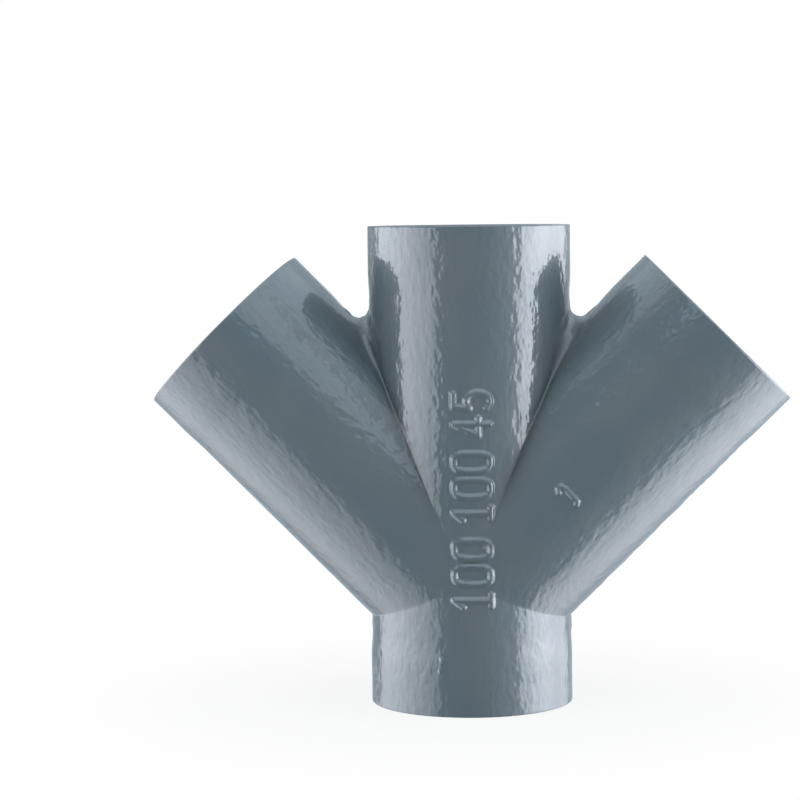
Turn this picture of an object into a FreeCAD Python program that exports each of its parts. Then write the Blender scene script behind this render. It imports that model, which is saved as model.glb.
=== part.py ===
"""Hubless double branch for drain pipe: one iron casting, a straight run with two slanting branches.

The run stands on its lower end with +Z up its axis, and the branches lean out in the XZ plane.
Each of the four cut ends is a spigot whose land, a little proud of the pipe behind it, takes the sleeve
of a coupling. The origin is the centre of the lower end face. All sizes are in millimetres.
"""

import FreeCAD, Part
import math
import os

import Sketcher
from FreeCAD import Vector

NODE = "double_branch_fitting"

# Driving dimensions: alias, value, what it is
SIZES = [
    ("outer_diameter", 110.0, "outside diameter of the four spigots, nominal size 100"),
    ("land_height", 0.6, "how far a spigot's land stands out from the run behind it"),
    ("land_length", 32.0, "from a cut end to where its land starts to slope down"),
    ("land_slope", 3.0, "length of that slope"),
    ("branch_relief", 0.3, "how much slimmer the branches are than the run, on diameter"),
    ("wall", 4.2, "wall thickness behind the lands"),
    ("overall_length", 260.0, "end to end of the run"),
    ("centre_height", 70.0, "lower end to the crossing point, where the three axes meet"),
    ("branch_reach", 190.0, "from the crossing point to a branch's end face"),
    ("branch_angle", 45.0, "between the run's axis and a branch's axis, in degrees"),
    ("crotch_radius", 5.0, "outer fillet where a branch leaves the run"),
    ("divider_bevel", 3.0, "bevel of the inner edge that parts the flow"),
    ("rim_bevel", 0.8, "bevel that breaks the edges of the cut ends, outside and inside"),
    ("seam_height", 0.6, "how far the mould's parting seam stands out"),
    ("seam_width", 2.4, "width of the parting seam"),
    ("seam_gap", 2.0, "ground bare between a land's slope and the seam"),
]

# Sums of those sizes that several sketches share
LAND_RADIUS = "sizes.outer_diameter / 2"
RUN_RADIUS = f"({LAND_RADIUS} - sizes.land_height)"
BRANCH_RADIUS = f"({RUN_RADIUS} - sizes.branch_relief / 2)"
RUN_BORE_RADIUS = f"({RUN_RADIUS} - sizes.wall)"
BRANCH_BORE_RADIUS = f"({BRANCH_RADIUS} - sizes.wall)"
LOWER_REACH = "sizes.centre_height"
UPPER_REACH = "(sizes.overall_length - sizes.centre_height)"
BRANCH_REACH = "sizes.branch_reach"
CUTTER_REACH = "(sizes.branch_reach + sizes.wall)"
SLOPE_END = "(sizes.land_length + sizes.land_slope)"
ROOT_DEPTH = "(sizes.land_length + 2 * sizes.land_slope)"
SEAM_START = f"({SLOPE_END} + sizes.seam_gap)"
SEAM_REACH = f"(sizes.branch_reach - {SEAM_START})"

# How the arms' axes lie from the X axis, in degrees
DOWN = "-90"
UP = "90"
RIGHT = "(90 - sizes.branch_angle)"

# The arms that are drawn, the last of which is mirrored: name, lean, length and radius
ARMS = [
    ("lower", DOWN, LOWER_REACH, RUN_RADIUS),
    ("upper", UP, UPPER_REACH, RUN_RADIUS),
    ("right", RIGHT, BRANCH_REACH, BRANCH_RADIUS),
]

# Two lengths are the same if they are this near to each other
MATCH = 0.01


def make_sheet(document):
    """The spreadsheet of driving dimensions, one alias each."""
    sheet = document.addObject("Spreadsheet::Sheet", "sizes")
    for row, (alias, value, note) in enumerate(SIZES, start=1):
        sheet.set(f"A{row}", alias)
        sheet.set(f"B{row}", str(value))
        sheet.set(f"C{row}", note)
        sheet.setAlias(f"B{row}", alias)
    document.recompute()


def amount(item, expression):
    """What a sum of the sheet's sizes comes to."""
    return float(item.evalExpression(expression))


def origin_plane(body, role):
    """One of the body's own origin planes."""
    return next(item for item in body.Origin.OriginFeatures if item.Role == role)


def sketch_on(body, name, role):
    """An empty sketch on one of the body's origin planes."""
    sketch = body.newObject("Sketcher::SketchObject", name)
    sketch.AttachmentSupport = [(origin_plane(body, role), "")]
    sketch.MapMode = "FlatFace"
    return sketch


def limit(sketch, *constraints):
    """Adds plain geometric constraints, each given as a tuple."""
    for constraint in constraints:
        sketch.addConstraint(Sketcher.Constraint(*constraint))


def drive(sketch, name, expression, *constraint):
    """Adds a dimension, names it and ties it to the sheet."""
    index = sketch.addConstraint(Sketcher.Constraint(*constraint, amount(sketch, expression)))
    sketch.renameConstraint(index, name)
    sketch.setExpression(f"Constraints.{name}", expression)


def draw_lines(sketch, points):
    """A chain of lines through the points, each joined to the next, and their indexes."""
    lines = [sketch.addGeometry(Part.LineSegment(start, end)) for start, end in zip(points, points[1:])]
    for line, following in zip(lines, lines[1:]):
        limit(sketch, ("Coincident", line, 2, following, 1))
    return lines


def draw_loop(sketch, corners):
    """A closed chain of lines, and their indexes."""
    lines = draw_lines(sketch, corners + corners[:1])
    limit(sketch, ("Coincident", lines[-1], 2, lines[0], 1))
    return lines


def circle_sketch(body, name, radius):
    """A circle about the run's axis, in the plane of the lower end."""
    sketch = sketch_on(body, name, "XY_Plane")
    circle = sketch.addGeometry(Part.Circle(Vector(), Vector(0, 0, 1), amount(sketch, radius)))
    limit(sketch, ("Coincident", circle, 3, -1, 1))
    drive(sketch, "radius", radius, "Radius", circle)
    return sketch


def arm_frame(sketch, lean):
    """The crossing point, the way an arm leans and the way square to it, on the XZ plane."""
    foot = Vector(0, amount(sketch, "sizes.centre_height"), 0)
    angle = math.radians(amount(sketch, lean))
    along = Vector(math.cos(angle), math.sin(angle), 0)
    return foot, along, Vector(along.y, -along.x, 0)


def draw_arm_axis(sketch, lean, reach):
    """An arm's axis as a construction line from the crossing point, and its index."""
    foot, along, _ = arm_frame(sketch, lean)
    axis = sketch.addGeometry(Part.LineSegment(foot, foot + along * amount(sketch, reach)), True)
    limit(sketch, ("PointOnObject", axis, 1, -2))
    drive(sketch, "foot_height", "sizes.centre_height", "DistanceY", -1, 1, axis, 1)
    turned = math.atan2(along.y, along.x)
    index = sketch.addConstraint(Sketcher.Constraint("Angle", -1, 1, axis, 1, turned))
    sketch.renameConstraint(index, "lean")
    sketch.setExpression("Constraints.lean", f"{lean} * 1 deg")
    drive(sketch, "reach", reach, "Distance", axis)
    return axis


def bar_sketch(body, name, lean, reach, radius):
    """Half section of a round bar along an arm's axis, out from the crossing point."""
    sketch = sketch_on(body, name, "XZ_Plane")
    foot, along, across = arm_frame(sketch, lean)
    end = foot + along * amount(sketch, reach)
    out = across * amount(sketch, radius)
    inner, face, outer, back = draw_loop(sketch, [foot, end, end + out, foot + out])
    axis = draw_arm_axis(sketch, lean, reach)
    limit(
        sketch,
        ("Coincident", inner, 1, axis, 1),
        ("Coincident", inner, 2, axis, 2),
        ("Perpendicular", inner, face),
        ("Parallel", inner, outer),
        ("Perpendicular", inner, back),
    )
    drive(sketch, "radius", radius, "Distance", face)
    return sketch


def spigot_sketch(body, name, lean, reach, radius):
    """Half section of a spigot: its face, rim and land, and the slope that dives into the pipe."""
    sketch = sketch_on(body, name, "XZ_Plane")
    foot, along, across = arm_frame(sketch, lean)
    rim_sum = f"{LAND_RADIUS} - sizes.rim_bevel"
    root_sum = f"2 * {radius} - {LAND_RADIUS}"
    rim, proud, root = (amount(sketch, value) for value in (rim_sum, LAND_RADIUS, root_sum))
    depths = ("sizes.rim_bevel", "sizes.land_length", ROOT_DEPTH)
    bevelled, level, rooted = (amount(sketch, value) for value in depths)
    end = foot + along * amount(sketch, reach)
    inner, face, rim_edge, land, slope, back = draw_loop(
        sketch,
        [
            end - along * rooted,
            end,
            end + across * rim,
            end + across * proud - along * bevelled,
            end + across * proud - along * level,
            end + across * root - along * rooted,
        ],
    )
    axis = draw_arm_axis(sketch, lean, reach)
    limit(
        sketch,
        ("PointOnObject", inner, 1, axis),
        ("Coincident", inner, 2, axis, 2),
        ("Perpendicular", inner, face),
        ("Parallel", inner, land),
        ("Perpendicular", inner, back),
    )
    drive(sketch, "rim_radius", rim_sum, "Distance", face)
    drive(sketch, "rim_depth", "sizes.rim_bevel", "Distance", rim_edge, 2, face)
    drive(sketch, "land_radius", LAND_RADIUS, "Distance", rim_edge, 2, axis)
    drive(sketch, "land_end", "sizes.land_length", "Distance", land, 2, face)
    drive(sketch, "root_depth", ROOT_DEPTH, "Distance", slope, 2, face)
    drive(sketch, "root_radius", root_sum, "Distance", back)
    return sketch


def run_seam_sketch(body):
    """The run's outline at the parting plane, proud by the seam's height and clear of the spigots."""
    sketch = sketch_on(body, "run_seam_outline", "XZ_Plane")
    side_sum = f"{RUN_RADIUS} + sizes.seam_height"
    high_sum = f"sizes.overall_length - {SEAM_START}"
    side, low, high = (amount(sketch, value) for value in (side_sum, SEAM_START, high_sum))
    foot, right, head, left = draw_loop(
        sketch,
        [Vector(-side, low, 0), Vector(side, low, 0), Vector(side, high, 0), Vector(-side, high, 0)],
    )
    limit(
        sketch,
        ("Vertical", right),
        ("Vertical", left),
        ("Horizontal", head),
        ("Symmetric", foot, 1, foot, 2, -2),
    )
    drive(sketch, "side", side_sum, "DistanceX", -1, 1, foot, 2)
    drive(sketch, "low", SEAM_START, "DistanceY", -1, 1, foot, 2)
    drive(sketch, "high", high_sum, "DistanceY", -1, 1, head, 1)
    return sketch


def branch_seam_sketch(body):
    """The right branch's outline there, with the bend that carries its seam through the crotch."""
    sketch = sketch_on(body, "branch_seam_outline", "XZ_Plane")
    side_sum = f"{RUN_RADIUS} + sizes.seam_height"
    half_sum = f"{BRANCH_RADIUS} + sizes.seam_height"
    bend_sum = "sizes.crotch_radius - sizes.seam_height"
    sums = (side_sum, half_sum, bend_sum, SEAM_REACH)
    side, half, bend, reach = (amount(sketch, value) for value in sums)
    foot, along, across = arm_frame(sketch, RIGHT)

    centre = Vector(side + bend, foot.y + ((side + bend) * along.y + half + bend) / along.x, 0)
    on_branch = centre + across * bend
    on_run = Vector(side, centre.y, 0)
    end = foot + along * reach
    back, under, face, above = draw_lines(
        sketch,
        [foot, foot + across * half, end + across * half, end - across * half, on_branch],
    )
    towards_corner = (across - Vector(1, 0, 0)).normalize()
    arc = sketch.addGeometry(Part.Arc(on_branch, centre + towards_corner * bend, on_run))
    shoulder, core = draw_lines(sketch, [on_run, Vector(0, on_run.y, 0), foot])
    axis = draw_arm_axis(sketch, RIGHT, SEAM_REACH)

    starts_on_branch = sketch.getPoint(arc, 1).distanceToPoint(on_branch) < bend
    near, far = (1, 2) if starts_on_branch else (2, 1)
    limit(
        sketch,
        ("Coincident", back, 1, axis, 1),
        ("Coincident", core, 2, axis, 1),
        ("Perpendicular", back, axis),
        ("Parallel", under, axis),
        ("Perpendicular", face, axis),
        ("PointOnObject", axis, 2, face),
        ("Parallel", above, axis),
        ("Tangent", above, 2, arc, near),
        ("Coincident", arc, far, shoulder, 1),
        ("PointOnObject", arc, 3, shoulder),
        ("Horizontal", shoulder),
        ("PointOnObject", core, 1, -2),
    )
    drive(sketch, "half_under", half_sum, "Distance", under, 2, axis)
    drive(sketch, "half_above", half_sum, "Distance", above, 1, axis)
    drive(sketch, "side", side_sum, "DistanceX", -1, 1, shoulder, 1)
    drive(sketch, "bend", bend_sum, "Radius", arc)
    return sketch


def seam_pad(body, name, sketch):
    """A pad of the seam's width, half to each side of the parting plane."""
    feature = body.newObject("PartDesign::Pad", name)
    feature.Profile = sketch
    feature.SideType = "Symmetric"
    feature.setExpression("Length", "sizes.seam_width")
    return feature


def pocket_through(body, name, sketch):
    """A cut along the whole run, from the lower end up."""
    feature = body.newObject("PartDesign::Pocket", name)
    feature.Profile = sketch
    feature.Type = "ThroughAll"
    feature.Reversed = True
    return feature


def turn(body, kind, name, sketch):
    """Turns an arm's half section about its axis, to add it or to cut it."""
    feature = body.newObject(kind, name)
    feature.Profile = sketch
    feature.ReferenceAxis = (sketch, ["Axis0"])
    feature.Angle = 360.0
    return feature


def mirror(body, name, feature):
    """The same feature on the other side of the YZ plane."""
    mirrored = body.newObject("PartDesign::Mirrored", name)
    mirrored.Originals = [feature]
    mirrored.MirrorPlane = (origin_plane(body, "YZ_Plane"), [""])
    body.Tip = mirrored
    return mirrored


def dress(document, body, kind, name, base, edges, size, expression):
    """A fillet or bevel of one size on the named edges of the base feature."""
    if not edges:
        raise RuntimeError(f"{name} found no edge")
    feature = body.newObject(kind, name)
    feature.Base = (base, edges)
    feature.setExpression(size, expression)
    document.recompute()
    return feature


def fillet(document, body, name, base, edges, radius):
    """Rounds the edges of the base feature."""
    return dress(document, body, "PartDesign::Fillet", name, base, edges, "Radius", radius)


def bevel(document, body, name, base, edges, size):
    """Breaks the edges of the base feature."""
    return dress(document, body, "PartDesign::Chamfer", name, base, edges, "Size", size)


def edges_where(shape, wanted):
    """The names of the shape's edges that answer the question."""
    return [f"Edge{index}" for index, edge in enumerate(shape.Edges, start=1) if wanted(edge)]


def saddle_edges(shape, radius):
    """The curves along which the branches meet the run's surface of this radius."""

    def is_saddle(edge):
        if edge.Curve.TypeId in ("Part::GeomLine", "Part::GeomCircle"):
            return False
        middle = edge.valueAt((edge.FirstParameter + edge.LastParameter) / 2)
        return abs(math.hypot(middle.x, middle.y) - radius) < MATCH

    return edges_where(shape, is_saddle)


def rim_edges(shape, radii):
    """The full circles of these radii, which are the bores' rims at the cut ends."""

    def is_rim(edge):
        if edge.Curve.TypeId != "Part::GeomCircle" or not edge.isClosed():
            return False
        return any(abs(edge.Curve.Radius - radius) < MATCH for radius in radii)

    return edges_where(shape, is_rim)


def settle(document, feature, grows):
    """Recomputes, and makes sure that the solid grew or shrank as the feature should make it."""
    document.recompute()
    before = feature.BaseFeature.Shape.Volume if feature.BaseFeature else 0.0
    change = feature.Shape.Volume - before
    if change == 0 or (change > 0) != grows:
        raise RuntimeError(f"{feature.Name} changed the volume by {change:.0f} cubic millimetres")
    return feature


def add_pipes(document, body):
    """The run's two halves and the branches as plain solid bars that stop short of the rims."""
    for name, lean, reach, radius in ARMS:
        section = bar_sketch(body, f"{name}_pipe_section", lean, f"{reach} - sizes.rim_bevel", radius)
        pipe = turn(body, "PartDesign::Revolution", f"{name}_pipe", section)
        settle(document, pipe, grows=True)
    return settle(document, mirror(body, "left_pipe", pipe), grows=True)


def add_spigots(document, body):
    """The four spigots at the ends of those bars."""
    for name, lean, reach, radius in ARMS:
        section = spigot_sketch(body, f"{name}_spigot_section", lean, reach, radius)
        spigot = turn(body, "PartDesign::Revolution", f"{name}_spigot", section)
        settle(document, spigot, grows=True)
    settle(document, mirror(body, "left_spigot", spigot), grows=True)


def add_seams(document, body):
    """The low ridge that the two halves of the mould leave all round, in the plane of the axes."""
    seam_pad(body, "run_seam", run_seam_sketch(body))
    branch_seam = seam_pad(body, "branch_seam", branch_seam_sketch(body))
    document.recompute()
    mirror(body, "branch_seams", branch_seam)
    document.recompute()


def cut_waterway(document, body):
    """The bores of the run and the branches, and the last feature."""
    run_bore = pocket_through(body, "run_bore", circle_sketch(body, "run_bore_section", RUN_BORE_RADIUS))
    settle(document, run_bore, grows=False)
    section = bar_sketch(body, "branch_bore_section", RIGHT, CUTTER_REACH, BRANCH_BORE_RADIUS)
    branch_bore = turn(body, "PartDesign::Groove", "branch_bore", section)
    settle(document, branch_bore, grows=False)
    return settle(document, mirror(body, "branch_bores", branch_bore), grows=False)


def bevel_bores(document, body, bored):
    """Breaks the bores' rims at the cut ends, and the edges inside where the branches meet the run."""
    run_bore, branch_bore = (amount(body, radius) for radius in (RUN_BORE_RADIUS, BRANCH_BORE_RADIUS))
    rims = rim_edges(bored.Shape, (run_bore, branch_bore))
    trimmed = bevel(document, body, "inner_rims", bored, rims, "sizes.rim_bevel")
    dividers = saddle_edges(trimmed.Shape, run_bore)
    bevel(document, body, "dividers", trimmed, dividers, "sizes.divider_bevel")


def build():
    """The document with its sheet and the casting's body."""
    document = FreeCAD.newDocument("fitting")
    make_sheet(document)
    body = document.addObject("PartDesign::Body", "casting")
    body.Label = NODE
    pipes = add_pipes(document, body)
    crotches = saddle_edges(pipes.Shape, amount(body, RUN_RADIUS))
    fillet(document, body, "crotches", pipes, crotches, "sizes.crotch_radius")
    add_spigots(document, body)
    add_seams(document, body)
    bevel_bores(document, body, cut_waterway(document, body))
    return document, body


def wall_end(body, lean, reach, radius):
    """A point in the middle of an arm's wall, just behind the bevels of its end."""
    foot, along, across = arm_frame(body, lean)
    depth = amount(body, f"{reach} - 2 * sizes.rim_bevel")
    point = foot + along * depth + across * amount(body, f"{radius} - sizes.wall / 2")
    return Vector(point.x, 0, point.y)


def check(document, body):
    """Stops before anything is written if an object failed or the casting isn't one good solid."""
    for item in document.Objects:
        if any(word in item.State for word in ("Invalid", "Error")):
            raise RuntimeError(f"{item.Name} failed: {item.State}")
    shape = body.Shape
    if shape.isNull() or not shape.isValid() or len(shape.Solids) != 1:
        raise RuntimeError(f"{body.Label} isn't one valid solid")
    for name, lean, reach, radius in ARMS:
        if not shape.isInside(wall_end(body, lean, reach, radius), MATCH, False):
            raise RuntimeError(f"the {name} arm of {body.Label} stops short of its end")


os.makedirs("parts", exist_ok=True)
document, body = build()
check(document, body)
body.Shape.exportStep(f"parts/{body.Label}.step")
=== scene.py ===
"""Looks of the hubless double branch: one iron casting under a glossy grey coat, with cast figures.

Lengths are metres in the CAD frame: +Z up the run, the branches in the XZ plane, the front towards -Y.
"""
import math

import bmesh
import bpy
import numpy as np
from mathutils import Matrix, Vector, noise


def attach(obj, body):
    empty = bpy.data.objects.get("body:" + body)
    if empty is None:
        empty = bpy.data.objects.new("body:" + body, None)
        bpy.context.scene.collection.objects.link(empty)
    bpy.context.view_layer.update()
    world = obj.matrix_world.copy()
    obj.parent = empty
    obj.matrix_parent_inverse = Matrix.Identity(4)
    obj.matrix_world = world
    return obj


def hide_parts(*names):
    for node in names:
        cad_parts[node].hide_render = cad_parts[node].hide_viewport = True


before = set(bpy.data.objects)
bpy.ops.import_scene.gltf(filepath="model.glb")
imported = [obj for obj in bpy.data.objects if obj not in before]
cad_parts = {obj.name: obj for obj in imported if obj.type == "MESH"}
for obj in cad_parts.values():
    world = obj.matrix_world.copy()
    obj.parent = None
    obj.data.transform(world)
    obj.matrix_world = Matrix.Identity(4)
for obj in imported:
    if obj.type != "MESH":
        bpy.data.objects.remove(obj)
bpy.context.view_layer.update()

NODE = "double_branch_fitting"

# The casting's sizes. PIPE_RADIUS is the outer wall's between the lands at the cut ends, and LAND_SLOPE the length
# over which the coat lets a land rise from it.
CROSSING = 0.070
REACH = 0.190
PIPE_RADIUS = 0.0544
WALL = 0.0042
BORE_RADIUS = PIPE_RADIUS - WALL
LAND_HEIGHT = 0.0006
LAND_LENGTH = 0.032
LAND_SLOPE = 0.016
RIM_RADIUS = 0.0007

# The parting seam: its height, its half width and where its slopes start and end in shares of that, and how far
# from a cut end it starts and over what length it rises
SEAM_HEIGHT = 0.0006
SEAM_HALF_WIDTH = 0.0012
SEAM_SLOPE = (0.35, 1.45)
SEAM_START = 0.037
SEAM_FADE = 0.004

# The radii of the corners: in a crotch, in the crease below it, over what height the one passes into the other,
# and on the inner edges that part the flow
CROTCH_RADIUS = 0.0060
CREASE_RADIUS = 0.0010
CREASE_START = 0.026
DIVIDER_RADIUS = 0.0025

# The arms round the crossing point, anticlockwise from the right branch: lean from +X and reach
BRANCH_LEAN = math.radians(45)
ARMS = [
    (BRANCH_LEAN, REACH),
    (math.radians(90), REACH),
    (math.radians(135), REACH),
    (math.radians(270), CROSSING),
]

# Mesh spacing round a pipe, how far the columns beside the parting plane are from it, the steps in a rim's quarter
# turn, and how far the rows beside a rim are from it
COLUMN_STEP = 0.0023
SEAM_COLUMNS = (0.00045, 0.0009, 0.00135, 0.0018)
RIM_STEPS = 4
RIM_MARGIN = 0.0004

# Rows along a long and a short arm: how far out the rows that follow the joint with the neighbours reach, how
# many they are, and how much closer they lie near the joint
OUTER_ROWS = {REACH: (0.148, 54, 1.3), CROSSING: (0.027, 14, 1.15)}
INNER_ROWS = {REACH: (0.132, 26), CROSSING: (0.027, 8)}
ROWS_TO_LAND = 5
ROWS_ON_LAND = 11
ROWS_IN_BORE = 8

# How finely the quads under raised marks are divided and how far round the marks, how far forward marks lie, and
# how far out a quad has to lie to be divided
FINE_CUTS = 5
FINE_MARGIN = 0.0012
MARKS_DEPTH = -0.03
FINE_DEPTH = PIPE_RADIUS * 0.9

# What a point lies on: the outer wall, a cut end's rim or the bore's wall
OUTER, RIM, INNER = range(3)

# How near to each other points become one, and how far off its wall a point still counts as on an arm
JOIN_DISTANCE = 1e-7
ARM_MARGIN = 0.002

# Slow unevenness of the cast surface: the height, size and seed of its waves, and of those drawn out along each
# pipe, whose size is along and across it. They fade out at the cut ends.
WAVE_HEIGHT = 0.00014
WAVE_SIZE = 0.020
WAVE_SEED = 3.7
DRAWN_HEIGHT = 0.00008
DRAWN_SIZE = (0.015, 0.0065)
DRAWN_SEEDS = (11.3, 23.9, 41.1)
WAVE_FADE = 0.006

# The seam's unevenness: its mean height as a share, and the share, size and seed of each wave on it
SEAM_MEAN = 0.62
SEAM_WAVES = [(0.55, 0.006, 7.7), (0.25, 0.0025, 1.9)]

# How near two pipes' walls are where a point belongs to both, and the smallest share that counts
SHARE_SOFTNESS = 0.0015
LEAST_SHARE = 0.01

# The cast figures: their text and sizes, where they start up the run and where across it their feet stand, how far
# out they stand, their strokes' half width, and the power by which a stroke falls off from its crown
FIGURES = "100 100 45"
FIGURE_HEIGHT = 0.0194
FIGURE_WIDTH = 0.0094
FIGURE_GAP = 0.0044
SPACE_WIDTH = 0.0048
FIGURES_START = 0.0573
FIGURES_BASE = -0.0134
FIGURE_RELIEF = 0.0014
STROKE_REACH = 0.0021
STROKE_SWELL = 1.5

# Strokes of the plain figures, in widths across and heights up
GLYPHS = {
    "0": [[
        (0.5 + 0.5 * math.copysign(abs(math.sin(turn)) ** 0.6, math.sin(turn)),
         0.5 - 0.5 * math.copysign(abs(math.cos(turn)) ** 0.72, math.cos(turn)))
        for turn in np.linspace(0.0, math.tau, 29)
    ]],
    "1": [[(0.18, 0.76), (0.56, 1.0), (0.56, 0.0)], [(0.24, 0.0), (0.88, 0.0)]],
    "4": [[(0.66, 0.0), (0.66, 1.0), (0.0, 0.32), (1.0, 0.32)]],
    "5": [
        [(0.90, 1.0), (0.16, 1.0), (0.08, 0.56)],
        [(0.08, 0.56)] + [
            (0.47 + 0.50 * math.sin(turn), 0.325 + 0.325 * math.cos(turn)) for turn in np.linspace(-0.72, 3.95, 16)
        ],
    ],
}

# The moulder's plain tick on the right branch: out along it and down across it
TICK = [
    (0.0700, -0.0004), (0.0712, -0.0020), (0.0730, -0.0020),
    (0.0739, 0.0009), (0.0735, 0.0096), (0.0722, 0.0104),
]
TICK_RELIEF = 0.0013
TICK_REACH = 0.0019

# Drips of the coat on the front: up the run, towards -X, reach and height
DRIP_LENGTH = 0.0004
DRIPS = [
    (0.1405, 0.0307, 0.0012, 0.0008),
    (0.1384, 0.0295, 0.0009, 0.0006),
    (0.1349, 0.0273, 0.0008, 0.0005),
    (0.1253, 0.0245, 0.0012, 0.0008),
    (0.0306, 0.0130, 0.0016, 0.0009),
    (0.0242, 0.0141, 0.0010, 0.0006),
]

# The coat's colour from its bluer to its browner patches
COAT_BLUE = (0.099, 0.141, 0.165)
COAT_BROWN = (0.121, 0.151, 0.169)

# How dark the painted shade is that darkens the coat's colour in the creases, how far out of them that reaches and
# by what share further at the crotches, and how sharp a corner between two pipes has to be for it: 1 less the
# cosine, where it starts and is full
PAINTED_CREASE_SHADE = 0.22
CREASE_SHADE = 0.0034
CROTCH_SHADE = 1.5
CREASE_CORNER = (0.03, 0.45)

# The coat's gloss, and the scale, detail and stretch of its patches and of its ripples
COAT_GLOSS = {
    "Roughness": 0.36, "IOR": 1.5, "Specular IOR Level": 0.6,
    "Coat Weight": 1.0, "Coat Roughness": 0.08, "Coat IOR": 1.7,
}
PATCHES = (45.0, 3.0, 2.6)
PATCH_RANGE = (0.36, 0.64)
RIPPLES = (280.0, 1.5, 1.8)
RIPPLE_HEIGHT = 0.0004

# The room: the light it sheds on the object, and what the coat mirrors there. Each glow is a direction, how
# near to it the glow starts and is full, and its brightness.
ROOM_LIGHT = 0.52
ROOM_DIM = 0.22
ROOM_GLOWS = [
    ((0.0, 0.4, 0.917), 0.20, 0.90, 0.40),
    ((0.664, 0.242, 0.707), 0.80, 0.95, 0.45),
    ((-0.664, 0.242, 0.707), 0.80, 0.95, 0.45),
    ((1.0, 0.0, 0.0), 0.20, 0.90, 0.42),
    ((0.0, 0.92, -0.39), 0.80, 0.96, 0.35),
    ((0.0, 1.0, 0.0), 0.982, 0.998, 0.45),
]
ROOM_TINT = (0.84, 1.0, 1.12)

# The floor: how large and how pale it is, how white it shows near the object's foot and further out, and between
# which distances that changes
FLOOR_RADIUS = 3.0
FLOOR_GREY = 0.86
FLOOR_WHITE = (0.86, 1.0)
FLOOR_WHITENS = (0.08, 0.26)

# Soft boxes standing round the object: name, turn of the middle from the front, half width, foot and top, and
# brightness at places from 0 at the left to 1 at the right and from 0 at the foot to 1 at the top
SOFTBOX_DISTANCE = 1.0
SOFTBOX_COLOUR = (0.95, 0.99, 1.06)
UPPER_RISE = [(0.0, 0.66), (0.15, 0.74), (0.37, 0.97), (0.75, 1.0), (1.0, 0.3)]
LOWER_RISE = [(0.0, 0.44), (0.55, 0.56), (1.0, 0.66)]
SOFTBOXES = [
    ("left_softbox", math.radians(-89.5), 1.455, -0.25, 0.50, [
        (0.0, 0.95), (0.09, 0.45), (0.25, 0.29), (0.285, 2.35), (0.38, 3.02), (0.48, 3.44),
        (0.63, 2.86), (0.71, 2.35), (0.80, 2.10), (0.92, 1.60), (1.0, 1.26),
    ], UPPER_RISE),
    ("left_low_softbox", math.radians(-89.5), 1.455, -1.60, -0.25, [
        (0.0, 0.80), (0.15, 1.45), (0.30, 2.62), (0.40, 3.20), (0.50, 3.20),
        (0.63, 2.72), (0.71, 2.24), (0.80, 2.00), (0.92, 1.52), (1.0, 1.20),
    ], LOWER_RISE),
    ("right_softbox", math.radians(104), 1.035, -0.25, 0.50, [
        (0.0, 2.75), (0.12, 4.00), (0.24, 5.10), (0.38, 5.33), (0.475, 4.73), (0.576, 3.35),
        (0.695, 2.84), (0.80, 2.41), (0.87, 1.55), (0.93, 0.43), (1.0, 0.34),
    ], UPPER_RISE),
    ("right_low_softbox", math.radians(104), 1.035, -1.60, -0.25, [
        (0.0, 1.82), (0.12, 2.80), (0.24, 3.78), (0.38, 4.20),
        (0.51, 4.06), (0.64, 3.50), (0.79, 2.62), (1.0, 1.15),
    ], LOWER_RISE),
]

# The soft box over the camera: its place, what it faces, its size and brightness
OVERHEAD_PLACE = (0.1, -0.9, 1.55)
OVERHEAD_AIM = (0.0, 0.0, 0.12)
OVERHEAD_SIZE = 2.0
OVERHEAD_RADIANCE = 0.7

# The camera: its place, its yaw, pitch and roll, and its lens and sensor in millimetres
CAMERA_PLACE = (0.07582, -1.39515, 0.26808)
CAMERA_TURN = (-0.0816, 0.0736, 0.0101)
CAMERA_LENS = 115.5
CAMERA_SENSOR = 36.0


def smooth_step(low, high, value):
    """Rises smoothly from 0 at low to 1 at high."""
    share = np.clip((value - low) / (high - low), 0.0, 1.0)
    return share * share * (3.0 - 2.0 * share)


def arm_frames():
    """Each arm's direction and the direction across it towards the next arm, in the XZ plane."""
    return [
        (np.array([math.cos(lean), 0.0, math.sin(lean)]), np.array([-math.sin(lean), 0.0, math.cos(lean)]))
        for lean, _ in ARMS
    ]


def gaps_to_neighbours(index):
    """The angles from an arm to the next arm and to the one before."""
    lean = ARMS[index][0]
    following = ARMS[(index + 1) % len(ARMS)][0]
    before = ARMS[index - 1][0]
    return (following - lean) % math.tau, (lean - before) % math.tau


def column_angles():
    """Angles round an arm from its side towards the next arm, close together at the parting plane."""
    quarter = [0.0] + [math.asin(step / PIPE_RADIUS) for step in SEAM_COLUMNS]
    rest = math.pi / 2 - quarter[-1]
    count = round(rest * PIPE_RADIUS / COLUMN_STEP)
    quarter += [quarter[-1] + rest * number / count for number in range(1, count + 1)]
    half = quarter + [math.pi - angle for angle in quarter[-2::-1]]
    return np.array(half + [math.tau - angle for angle in half[-2:0:-1]])


def joint_start(angles, radius, index):
    """How far along an arm's axis its wall starts, at the planes that part it from its neighbours."""
    ahead, behind = gaps_to_neighbours(index)
    lean = np.cos(angles)
    slope = np.where(lean > 0, math.tan(ahead / 2), math.tan(behind / 2))
    return radius * np.abs(lean) / slope


def wall_rows(angles, index, radius, fixed, count, grade):
    """Rows of distances along the axis, from the joint with the neighbours to one fixed distance."""
    start = joint_start(angles, radius, index)
    shares = (np.arange(count + 1) / count) ** grade
    return [start + (fixed - start) * share for share in shares]


def steps_between(start, end, count):
    """Evenly spaced values after start, up to end."""
    return [start + (end - start) * number / count for number in range(1, count + 1)]


def quarter_turn():
    """The sine and cosine at each step of a rim's quarter turn."""
    turns = [math.pi / 2 * step / RIM_STEPS for step in range(1, RIM_STEPS + 1)]
    return [(math.sin(turn), math.cos(turn)) for turn in turns]


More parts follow.
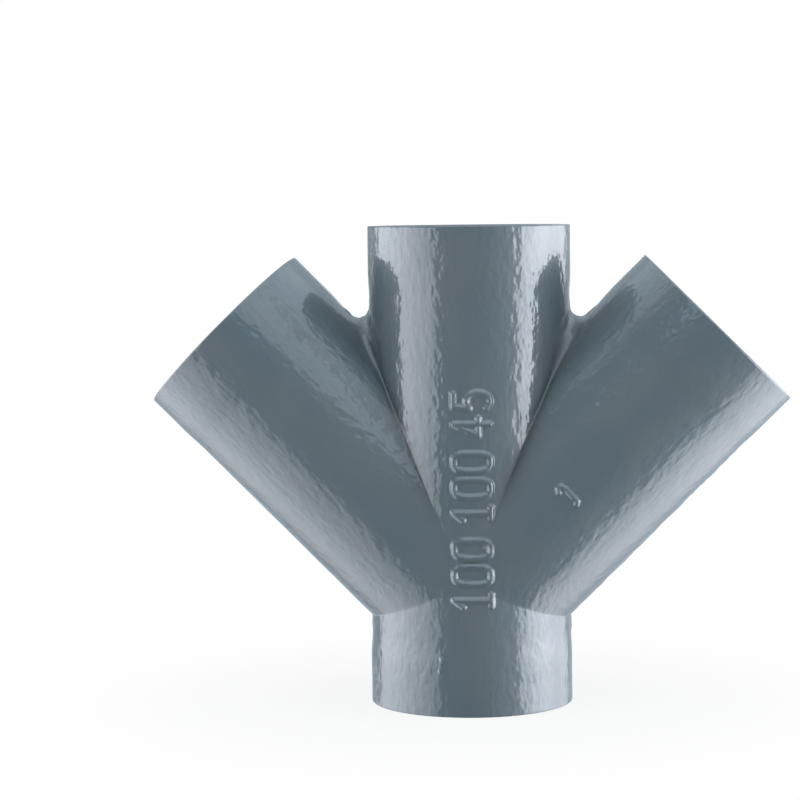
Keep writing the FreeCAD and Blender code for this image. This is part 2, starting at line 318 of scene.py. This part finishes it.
def arm_profile(index, angles):
    """An arm's rows from the outer joint round the rim to the inner joint: distance along, radius and kind."""
    reach = ARMS[index][1]
    outer_end, outer_count, grade = OUTER_ROWS[reach]
    inner_end, inner_count = INNER_ROWS[reach]
    land_start = reach - LAND_LENGTH
    rim_start = reach - RIM_RADIUS
    outer_edge = PIPE_RADIUS + LAND_HEIGHT - RIM_RADIUS
    inner_edge = BORE_RADIUS + RIM_RADIUS

    outward = wall_rows(angles, index, PIPE_RADIUS, outer_end, outer_count, grade)
    outward += steps_between(outer_end, land_start, ROWS_TO_LAND)
    outward += steps_between(land_start, rim_start - RIM_MARGIN, ROWS_ON_LAND) + [rim_start]
    rows = [(along, PIPE_RADIUS, OUTER) for along in outward]
    for sine, cosine in quarter_turn():
        rows.append((rim_start + RIM_RADIUS * sine, outer_edge + RIM_RADIUS * cosine, RIM))
    rows += [(reach, radius, RIM) for radius in (outer_edge - RIM_MARGIN, inner_edge + RIM_MARGIN, inner_edge)]
    for step, (sine, cosine) in enumerate(quarter_turn(), start=1):
        kind = RIM if step < RIM_STEPS else INNER
        rows.append((rim_start + RIM_RADIUS * cosine, inner_edge - RIM_RADIUS * sine, kind))
    inward = [rim_start - RIM_MARGIN] + steps_between(rim_start - RIM_MARGIN, inner_end, ROWS_IN_BORE)
    inward += wall_rows(angles, index, BORE_RADIUS, inner_end, inner_count, grade)[-2::-1]
    return rows + [(along, BORE_RADIUS, INNER) for along in inward]


def casting_grid():
    """Points, quads and each point's kind, with the arms joined along the planes between them."""
    angles = column_angles()
    columns = len(angles)
    points, kinds, quads = [], [], []
    for index, (along_axis, across) in enumerate(arm_frames()):
        first = sum(len(block) for block in points)
        rows = arm_profile(index, angles)
        for along, radius, kind in rows:
            place = np.outer(np.broadcast_to(along, columns), along_axis)
            place = place + np.outer(radius * np.cos(angles), across)
            place[:, 1] += radius * np.sin(angles)
            place[:, 2] += CROSSING
            points.append(place)
            kinds += [kind] * columns
        for row in range(len(rows) - 1):
            low = first + row * columns
            for column in range(columns):
                beside = (column + 1) % columns
                quads.append((low + column, low + columns + column, low + columns + beside, low + beside))
    return join_points(np.concatenate(points), np.array(kinds), np.array(quads))


def join_points(points, kinds, quads):
    """Points that share a place become one."""
    keys = np.round(points / JOIN_DISTANCE).astype(np.int64)
    _, kept, where = np.unique(keys, axis=0, return_index=True, return_inverse=True)
    return points[kept], kinds[kept], where.reshape(-1)[quads]


def crotch_nearness(points):
    """How near each point is to the crotches' height: 1 at them and above, 0 well down the creases."""
    crotch = CROSSING + PIPE_RADIUS / math.tan(BRANCH_LEAN / 2)
    return smooth_step(crotch - CREASE_START, crotch, points[:, 2])


def crotch_rounding(points):
    """The radius of the corner between the outer walls: round at the crotches, a tight crease below them."""
    return CREASE_RADIUS + (CROTCH_RADIUS - CREASE_RADIUS) * crotch_nearness(points)


def divider_rounding(points):
    """The radius of the inner edge that parts the flow."""
    return np.full(len(points), DIVIDER_RADIUS)


def away_from_axes(points):
    """How far each point is from the run's and the nearer branch's axis, and how alike those two ways are."""
    side, depth, height = np.abs(points[:, 0]), points[:, 1], points[:, 2] - CROSSING
    across = side * math.sin(BRANCH_LEAN) - height * math.cos(BRANCH_LEAN)
    run_far, branch_far = np.hypot(side, depth), np.hypot(across, depth)
    alike = side * across * math.sin(BRANCH_LEAN) + depth * depth
    return run_far, branch_far, alike / np.maximum(run_far * branch_far, 1e-9)


def blended_distance(points, radius, rounding):
    """Distance outside the crossed cylinders, with the corner between them rounded by a rolling ball."""
    ball = rounding(points)
    run_far, branch_far, alike = away_from_axes(points)
    to_run, to_branch = run_far - radius, branch_far - radius
    spread = 1.0 - alike * alike
    near_run, near_branch = ball - to_run, ball - to_branch
    open_corner = spread > 1e-7
    safe = np.where(open_corner, spread, 1.0)
    run_share = (near_run - alike * near_branch) / safe
    branch_share = (near_branch - alike * near_run) / safe
    rounded = open_corner & (run_share > 0) & (branch_share > 0)
    squares = (near_run ** 2 + near_branch ** 2 - 2 * near_run * near_branch * alike) / safe
    return np.where(rounded, ball - np.sqrt(np.maximum(squares, 0.0)), np.minimum(to_run, to_branch))


def slope_of(points, radius, rounding):
    """The unit direction in which the blended distance grows."""
    step = 1e-6
    slope = np.empty_like(points)
    for axis in range(3):
        shift = np.zeros(3)
        shift[axis] = step
        ahead, behind = points + shift, points - shift
        slope[:, axis] = blended_distance(ahead, radius, rounding) - blended_distance(behind, radius, rounding)
    return slope / np.maximum(np.linalg.norm(slope, axis=1, keepdims=True), 1e-12)


def pull_to_wall(points, radius, rounding, relief):
    """Moves points square to the rounded wall until they lie on it, or this far outside."""
    moved = points.copy()
    for _ in range(5):
        gap = blended_distance(moved, radius, rounding)
        moved -= gap[:, None] * slope_of(moved, radius, rounding)
    return moved + slope_of(moved, radius, rounding) * relief[:, None]


def figure_strokes():
    """The figures' strokes as (up the run, towards -X) points in metres, read upwards from the lower end."""
    strokes = []
    place = FIGURES_START
    for figure in FIGURES:
        if figure == " ":
            place += SPACE_WIDTH
            continue
        for stroke in GLYPHS[figure]:
            strokes.append([
                (place + across * FIGURE_WIDTH, FIGURES_BASE + up * FIGURE_HEIGHT) for across, up in stroke
            ])
        place += FIGURE_WIDTH + FIGURE_GAP
    return strokes


def distance_to_strokes(spots, strokes):
    """How far each flat spot is from the nearest stroke."""
    nearest = np.full(len(spots), 1.0)
    for stroke in strokes:
        for start, end in zip(stroke, stroke[1:]):
            start, run = np.array(start), np.array(end) - np.array(start)
            share = np.clip((spots - start) @ run / (run @ run), 0.0, 1.0)
            nearest = np.minimum(nearest, np.linalg.norm(spots - start - share[:, None] * run, axis=1))
    return nearest


def raised(distance, relief, reach):
    """The height of a stroke this far from its middle: a ridge that steepens from its crown to its foot."""
    return relief * (1.0 - np.minimum(distance / reach, 1.0) ** STROKE_SWELL)


def run_view(points):
    """Points as the front shows them along the run: up it, and towards -X."""
    return np.column_stack((points[:, 2], -points[:, 0]))


def branch_view(points):
    """Points as the front shows them along the right branch: out along it, and down across it."""
    sine, cosine = math.sin(BRANCH_LEAN), math.cos(BRANCH_LEAN)
    side, height = points[:, 0], points[:, 2] - CROSSING
    return np.column_stack((side * cosine + height * sine, side * sine - height * cosine))


def near_strokes(points, view, strokes, reach):
    """Which points are on the front and inside the strokes' box, widened by reach."""
    spots = view(points)
    corners = np.array([spot for stroke in strokes for spot in stroke])
    inside = (spots > corners.min(axis=0) - reach) & (spots < corners.max(axis=0) + reach)
    return inside.all(axis=1) & (points[:, 1] < MARKS_DEPTH)


def raised_marks():
    """Every raised mark on the front: how it is seen, its strokes, how high it stands and how far it reaches."""
    marks = [
        (run_view, figure_strokes(), FIGURE_RELIEF, STROKE_REACH),
        (branch_view, [TICK], TICK_RELIEF, TICK_REACH),
    ]
    for up, across, reach, height in DRIPS:
        marks.append((run_view, [[(up, across), (up + DRIP_LENGTH, across)]], height, reach))
    return marks


def marks_relief(points):
    """How far the figures, the moulder's tick and the drips stand out at each point."""
    relief = np.zeros(len(points))
    for view, strokes, height, reach in raised_marks():
        near = near_strokes(points, view, strokes, reach)
        distance = distance_to_strokes(view(points[near]), strokes)
        relief[near] = np.maximum(relief[near], raised(distance, height, reach))
    return relief


def arm_shares(points):
    """How much each point belongs to the run and to the right and left branches."""
    sine, cosine = math.sin(BRANCH_LEAN), math.cos(BRANCH_LEAN)
    side, depth, height = points[:, 0], points[:, 1], points[:, 2] - CROSSING
    to_run = np.hypot(side, depth)
    to_right = np.hypot(side * sine - height * cosine, depth)
    to_left = np.hypot(-side * sine - height * cosine, depth)
    right = (side > 0) & (height > 0)
    left = (side < 0) & (height > 0)
    closeness = np.column_stack((to_run, np.where(right, to_right, 1.0), np.where(left, to_left, 1.0)))
    closeness -= closeness.min(axis=1, keepdims=True)
    weights = np.exp(-closeness / SHARE_SOFTNESS)
    return weights / weights.sum(axis=1, keepdims=True)


# Painted shade: this depth sets where the coat's colour is darkened in the creases and crotches, where shade falls
def crease_depth(points):
    """How deep each point lies in the crease between the run and a branch: 1 at its bottom, 0 on the open wall."""
    run_far, branch_far, alike = away_from_axes(points)
    reach = CREASE_SHADE * (1.0 + CROTCH_SHADE * crotch_nearness(points))
    nearness = np.exp(-np.abs(run_far - branch_far) / reach)
    return nearness * smooth_step(*CREASE_CORNER, 1.0 - alike) * (points[:, 2] > CROSSING)


def wave_at(place, size, seed):
    """Smooth noise from -1 to 1."""
    return noise.noise(Vector((place[0] / size + seed, place[1] / size, place[2] / size)))


def drawn_wave(place, axis, seed):
    """Noise drawn out along an axis, as a coat that ran along it."""
    along = Vector(place).dot(axis)
    across = Vector(place) - along * axis
    spot = across / DRAWN_SIZE[1] + along / DRAWN_SIZE[0] * axis
    return noise.noise(spot + Vector((seed, seed, 0.0)))


def cast_waves(points, shares):
    """The unevenness of the cast and coated wall at each point."""
    slant = math.sqrt(0.5)
    axes = (Vector((0, 0, 1)), Vector((slant, 0, slant)), Vector((-slant, 0, slant)))
    heights = np.empty(len(points))
    for number, (place, share) in enumerate(zip(points, shares)):
        height = WAVE_HEIGHT * wave_at(place, WAVE_SIZE, WAVE_SEED)
        for weight, axis, seed in zip(share, axes, DRAWN_SEEDS):
            if weight > LEAST_SHARE:
                height += DRAWN_HEIGHT * weight * drawn_wave(place, axis, seed)
        heights[number] = height
    return heights


def seam_relief(points, end_fade):
    """The ground-off flash on the parting plane: low and uneven, ending short of the spigots' grips."""
    crown, foot = [SEAM_HALF_WIDTH * share for share in SEAM_SLOPE]
    ridge = 1.0 - smooth_step(crown, foot, np.abs(points[:, 1]))
    on_seam = (ridge > 0) & (end_fade > 0)
    relief = np.zeros(len(points))
    relief[on_seam] = [
        SEAM_HEIGHT * sum((share * wave_at(place, size, seed) for share, size, seed in SEAM_WAVES), SEAM_MEAN)
        for place in points[on_seam]
    ]
    return np.maximum(relief, 0.0) * ridge * end_fade


def distances_to_end(points):
    """How far each point is from the end of the arm that it is on."""
    left_over = np.full(len(points), 1.0)
    offsets = points - np.array([0.0, 0.0, CROSSING])
    for (along_axis, _), (_, reach) in zip(arm_frames(), ARMS):
        along = offsets @ along_axis
        across = np.linalg.norm(offsets - along[:, None] * along_axis, axis=1)
        here = (across < PIPE_RADIUS + ARM_MARGIN) & (along > 0)
        left_over = np.where(here, np.minimum(left_over, reach - along), left_over)
    return left_over


def refine_marks(points, kinds, quads):
    """Divides the quads under the raised marks finely; new points on the outer wall stay outer."""
    bm = bmesh.new()
    layer = bm.verts.layers.int.new("kind")
    for place, kind in zip(points, kinds.tolist()):
        bm.verts.new(place)[layer] = kind
    bm.verts.ensure_lookup_table()
    for quad in quads:
        bm.faces.new([bm.verts[corner] for corner in quad])
    for view, strokes, _, reach in raised_marks():
        centres = np.array([face.calc_center_median() for face in bm.faces])
        near = near_strokes(centres, view, strokes, reach + FINE_MARGIN) & (np.abs(centres[:, 1]) > FINE_DEPTH)
        edges = dict.fromkeys(
            edge for face, wanted in zip(bm.faces, near) if wanted and face.verts[0][layer] == OUTER
            for edge in face.edges
        )
        bmesh.ops.subdivide_edges(bm, edges=list(edges), cuts=FINE_CUTS, use_grid_fill=True)
    bm.verts.index_update()
    places = np.array([vert.co for vert in bm.verts])
    kinds = np.array([vert[layer] for vert in bm.verts])
    faces = [[vert.index for vert in face.verts] for face in bm.faces]
    bm.free()
    return places, kinds, faces


def shaped_casting():
    """The casting's points on its rounded, uneven walls, with its faces and its arms' shares."""
    points, kinds, quads = casting_grid()
    points, kinds, faces = refine_marks(points, kinds, quads)
    outer, inner = kinds == OUTER, kinds == INNER
    shares = arm_shares(points)
    to_end = distances_to_end(points)
    waves = cast_waves(points, shares) * smooth_step(0.0, WAVE_FADE, to_end)
    shaped = points.copy()
    wall, to_end = points[outer], to_end[outer]
    slope = smooth_step(LAND_LENGTH - LAND_SLOPE / 2, LAND_LENGTH + LAND_SLOPE / 2, to_end)
    land = LAND_HEIGHT * (1.0 - slope)
    seam = seam_relief(wall, smooth_step(SEAM_START, SEAM_START + SEAM_FADE, to_end))
    relief = land + seam + marks_relief(wall) + waves[outer]
    shaped[outer] = pull_to_wall(wall, PIPE_RADIUS, crotch_rounding, relief)
    shaped[inner] = pull_to_wall(points[inner], BORE_RADIUS, divider_rounding, waves[inner])
    return shaped, faces, shares


def build_casting():
    """The casting as one closed mesh, with what its material needs to know at each point."""
    points, faces, shares = shaped_casting()
    mesh = bpy.data.meshes.new("double_branch_casting")
    mesh.from_pydata(points.tolist(), [], faces)
    mesh.validate()
    attribute = mesh.attributes.new("arm_shares", "FLOAT_VECTOR", "POINT")
    attribute.data.foreach_set("vector", shares.astype(np.float32).ravel())
    # The crease depth, which the coat's material uses to paint shade into the creases
    attribute = mesh.attributes.new("crease", "FLOAT", "POINT")
    attribute.data.foreach_set("value", crease_depth(points).astype(np.float32))
    mesh.polygons.foreach_set("use_smooth", [True] * len(mesh.polygons))
    piece = bpy.data.objects.new("double_branch_casting", mesh)
    bpy.context.collection.objects.link(piece)
    return piece


def add_node(tree, kind, **settings):
    """A shader node with these attributes set."""
    node = tree.nodes.new(kind)
    for name, value in settings.items():
        setattr(node, name, value)
    return node


def set_inputs(node, values):
    """Sets a node's inputs by name."""
    for name, value in values.items():
        node.inputs[name].default_value = value


def stretched_noise(tree, place, turn, scale, detail, stretch):
    """Noise drawn out along the upright axis after place is turned about Y."""
    turned = add_node(tree, "ShaderNodeMapping", vector_type="POINT")
    turned.inputs["Rotation"].default_value = (0.0, turn, 0.0)
    tree.links.new(place, turned.inputs["Vector"])
    squeezed = add_node(tree, "ShaderNodeVectorMath", operation="MULTIPLY")
    squeezed.inputs[1].default_value = (1.0, 1.0, 1.0 / stretch)
    tree.links.new(turned.outputs["Vector"], squeezed.inputs[0])
    texture = add_node(tree, "ShaderNodeTexNoise")
    set_inputs(texture, {"Scale": scale, "Detail": detail, "Roughness": 0.5})
    tree.links.new(squeezed.outputs["Vector"], texture.inputs["Vector"])
    return texture.outputs["Fac"]


def math_node(tree, operation, first, second):
    """A math node's output, from sockets or plain numbers."""
    node = add_node(tree, "ShaderNodeMath", operation=operation)
    for socket, value in zip(node.inputs, (first, second)):
        if isinstance(value, (int, float)):
            socket.default_value = value
        else:
            tree.links.new(value, socket)
    return node.outputs[0]


def along_pipes(tree, place, scale, detail, stretch):
    """Noise drawn out along whichever pipe the point is on."""
    shares = add_node(tree, "ShaderNodeAttribute", attribute_name="arm_shares")
    parts = add_node(tree, "ShaderNodeSeparateXYZ")
    tree.links.new(shares.outputs["Vector"], parts.inputs[0])
    total = 0.0
    for part, turn in zip(parts.outputs, (0.0, -BRANCH_LEAN, BRANCH_LEAN)):
        drawn = stretched_noise(tree, place, turn, scale, detail, stretch)
        total = math_node(tree, "ADD", math_node(tree, "MULTIPLY", part, drawn), total)
    return total


def coat_material():
    """Glossy blue-grey epoxy over rough cast iron."""
    material = bpy.data.materials.new("epoxy_coat")
    material.use_nodes = True
    tree = material.node_tree
    shader = tree.nodes["Principled BSDF"]
    set_inputs(shader, COAT_GLOSS)
    place = add_node(tree, "ShaderNodeTexCoord").outputs["Object"]

    tint = add_node(tree, "ShaderNodeValToRGB")
    for element, position, colour in zip(tint.color_ramp.elements, PATCH_RANGE, (COAT_BLUE, COAT_BROWN)):
        element.position = position
        element.color = (*colour, 1)
    tree.links.new(along_pipes(tree, place, *PATCHES), tint.inputs["Fac"])
    # Painted shade: the base colour is darkened in the creases and crotches, where shade falls
    crease = add_node(tree, "ShaderNodeAttribute", attribute_name="crease")
    shade = add_node(tree, "ShaderNodeMapRange")
    set_inputs(shade, {"To Min": 1.0, "To Max": PAINTED_CREASE_SHADE})
    tree.links.new(crease.outputs["Fac"], shade.inputs["Value"])
    shaded = add_node(tree, "ShaderNodeVectorMath", operation="SCALE")
    tree.links.new(tint.outputs["Color"], shaded.inputs[0])
    tree.links.new(shade.outputs["Result"], shaded.inputs["Scale"])
    tree.links.new(shaded.outputs["Vector"], shader.inputs["Base Color"])

    bump = add_node(tree, "ShaderNodeBump")
    set_inputs(bump, {"Strength": 1.0, "Distance": RIPPLE_HEIGHT})
    tree.links.new(along_pipes(tree, place, *RIPPLES), bump.inputs["Height"])
    tree.links.new(bump.outputs["Normal"], shader.inputs["Normal"])
    tree.links.new(bump.outputs["Normal"], shader.inputs["Coat Normal"])
    return material


def seen_or_mirrored(tree):
    """1 for rays from the camera, a mirror or glass, and 0 for light that is shed."""
    rays = add_node(tree, "ShaderNodeLightPath")
    either = math_node(tree, "MAXIMUM", rays.outputs["Is Camera Ray"], rays.outputs["Is Glossy Ray"])
    return math_node(tree, "MAXIMUM", either, rays.outputs["Is Transmission Ray"])


def floor_material():
    """A pale matt floor that shows plain white but for the object's soft shadow round its foot."""
    material = bpy.data.materials.new("floor")
    material.use_nodes = True
    tree = material.node_tree
    matt = tree.nodes["Principled BSDF"]
    set_inputs(matt, {
        "Base Color": (FLOOR_GREY, FLOOR_GREY, FLOOR_GREY, 1), "Roughness": 1.0, "Specular IOR Level": 0.0,
    })
    white = add_node(tree, "ShaderNodeEmission")
    white.inputs["Strength"].default_value = 1.0
    place = add_node(tree, "ShaderNodeTexCoord").outputs["Object"]
    far = add_node(tree, "ShaderNodeVectorMath", operation="LENGTH")
    tree.links.new(place, far.inputs[0])
    share = add_node(tree, "ShaderNodeMapRange")
    set_inputs(share, {
        "From Min": FLOOR_WHITENS[0], "From Max": FLOOR_WHITENS[1],
        "To Min": FLOOR_WHITE[0], "To Max": FLOOR_WHITE[1],
    })
    tree.links.new(far.outputs["Value"], share.inputs["Value"])
    mix = add_node(tree, "ShaderNodeMixShader")
    tree.links.new(math_node(tree, "MULTIPLY", share.outputs["Result"], seen_or_mirrored(tree)), mix.inputs["Fac"])
    tree.links.new(matt.outputs[0], mix.inputs[1])
    tree.links.new(white.outputs[0], mix.inputs[2])
    tree.links.new(mix.outputs[0], tree.nodes["Material Output"].inputs["Surface"])
    return material


def add_floor():
    """A round level floor, with the white room beyond it. The coat doesn't mirror it."""
    bm = bmesh.new()
    bmesh.ops.create_circle(bm, cap_ends=True, segments=96, radius=FLOOR_RADIUS)
    mesh = bpy.data.meshes.new("floor")
    bm.to_mesh(mesh)
    bm.free()
    floor = bpy.data.objects.new("floor", mesh)
    bpy.context.collection.objects.link(floor)
    mesh.materials.append(floor_material())
    floor.visible_glossy = False


def brightness_along(tree, place, stops):
    """A brightness that runs through the stops, each a place from 0 to 1 and a brightness, as place does."""
    most = max(level for _, level in stops)
    ramp = add_node(tree, "ShaderNodeValToRGB")
    elements = ramp.color_ramp.elements
    elements.remove(elements[1])
    for position, level in stops:
        element = elements[0] if position == 0.0 else elements.new(position)
        element.position = position
        element.color = (level / most, level / most, level / most, 1)
    tree.links.new(place, ramp.inputs["Fac"])
    return math_node(tree, "MULTIPLY", ramp.outputs["Color"], most)


def softbox_material(name, across, upward):
    """Light from the inner side, brighter and dimmer across and up the soft box."""
    material = bpy.data.materials.new(name)
    material.use_nodes = True
    tree = material.node_tree
    parts = add_node(tree, "ShaderNodeSeparateXYZ")
    tree.links.new(add_node(tree, "ShaderNodeTexCoord").outputs["Generated"], parts.inputs[0])
    level = math_node(
        tree, "MULTIPLY",
        brightness_along(tree, parts.outputs["X"], across), brightness_along(tree, parts.outputs["Z"], upward),
    )
    inside = math_node(tree, "SUBTRACT", 1.0, add_node(tree, "ShaderNodeNewGeometry").outputs["Backfacing"])
    glow = add_node(tree, "ShaderNodeEmission")
    glow.inputs["Color"].default_value = (*SOFTBOX_COLOUR, 1)
    tree.links.new(math_node(tree, "MULTIPLY", level, inside), glow.inputs["Strength"])
    tree.links.new(glow.outputs[0], tree.nodes["Material Output"].inputs["Surface"])
    return material


def add_softbox(name, turn, half_width, foot, top, across, upward):
    """A glowing upright panel, unseen by the camera."""
    corners = [(half_width, foot), (-half_width, foot), (-half_width, top), (half_width, top)]
    mesh = bpy.data.meshes.new(name)
    mesh.from_pydata([(side, -SOFTBOX_DISTANCE, height) for side, height in corners], [], [(0, 1, 2, 3)])
    mesh.materials.append(softbox_material(name, across, upward))
    panel = bpy.data.objects.new(name, mesh)
    panel.rotation_euler = (0.0, 0.0, turn)
    panel.visible_camera = False
    panel.visible_shadow = False
    bpy.context.collection.objects.link(panel)


def add_overhead():
    """A soft box over the camera, tilted towards the object."""
    light = bpy.data.lights.new("overhead", "AREA")
    light.color = ROOM_TINT
    light.size = OVERHEAD_SIZE
    light.energy = OVERHEAD_RADIANCE * math.pi * OVERHEAD_SIZE * OVERHEAD_SIZE
    lamp = bpy.data.objects.new("overhead", light)
    lamp.location = OVERHEAD_PLACE
    facing = Vector(OVERHEAD_AIM) - Vector(OVERHEAD_PLACE)
    lamp.rotation_euler = facing.to_track_quat("-Z", "Y").to_euler()
    lamp.visible_camera = False
    bpy.context.collection.objects.link(lamp)


def glow_towards(tree, way, direction, start, full, brightness):
    """A brightness that grows from 0 as a way turns towards a direction."""
    nearness = add_node(tree, "ShaderNodeVectorMath", operation="DOT_PRODUCT")
    tree.links.new(way, nearness.inputs[0])
    nearness.inputs[1].default_value = direction
    rise = add_node(tree, "ShaderNodeMapRange", interpolation_type="SMOOTHSTEP")
    set_inputs(rise, {"From Min": start, "From Max": full, "To Max": brightness})
    tree.links.new(nearness.outputs["Value"], rise.inputs["Value"])
    return rise.outputs["Result"]


def add_room():
    """White behind the object, dim round it in what the coat mirrors, and soft light on the object."""
    world = bpy.data.worlds.new("studio")
    bpy.context.scene.world = world
    world.use_nodes = True
    tree = world.node_tree
    way = add_node(tree, "ShaderNodeTexCoord").outputs["Generated"]
    level = ROOM_DIM
    for direction, start, full, brightness in ROOM_GLOWS:
        level = math_node(tree, "ADD", glow_towards(tree, way, direction, start, full, brightness), level)
    rays = add_node(tree, "ShaderNodeLightPath")
    mirrored = math_node(tree, "MAXIMUM", rays.outputs["Is Glossy Ray"], rays.outputs["Is Transmission Ray"])
    shed = math_node(tree, "MULTIPLY", math_node(tree, "SUBTRACT", 1.0, seen_or_mirrored(tree)), ROOM_LIGHT)
    shown = math_node(tree, "MULTIPLY", mirrored, level)
    tinted = add_node(tree, "ShaderNodeVectorMath", operation="SCALE")
    tinted.inputs[0].default_value = ROOM_TINT
    tree.links.new(shown, tinted.inputs["Scale"])
    total = add_node(tree, "ShaderNodeVectorMath", operation="ADD")
    tree.links.new(tinted.outputs["Vector"], total.inputs[0])
    tree.links.new(math_node(tree, "ADD", shed, rays.outputs["Is Camera Ray"]), total.inputs[1])
    tree.links.new(total.outputs["Vector"], tree.nodes["Background"].inputs["Color"])


def add_camera():
    """The photograph's viewing angle."""
    yaw, pitch, roll = CAMERA_TURN
    forward = Vector((math.sin(yaw) * math.cos(pitch), math.cos(yaw) * math.cos(pitch), -math.sin(pitch)))
    level = Vector((math.cos(yaw), -math.sin(yaw), 0.0))
    right = math.cos(roll) * level + math.sin(roll) * forward.cross(level)
    turn = Matrix((right, right.cross(forward), -forward)).transposed()
    data = bpy.data.cameras.new("camera")
    data.lens = CAMERA_LENS
    data.sensor_width = CAMERA_SENSOR
    camera = bpy.data.objects.new("camera", data)
    camera.matrix_world = Matrix.Translation(CAMERA_PLACE) @ turn.to_4x4()
    bpy.context.collection.objects.link(camera)
    bpy.context.scene.camera = camera


casting = build_casting()
casting.data.materials.append(coat_material())
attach(casting, "root")
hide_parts(NODE)
add_floor()
for softbox in SOFTBOXES:
    add_softbox(*softbox)
add_overhead()
add_room()
add_camera()
bpy.context.scene.view_settings.view_transform = "Standard"
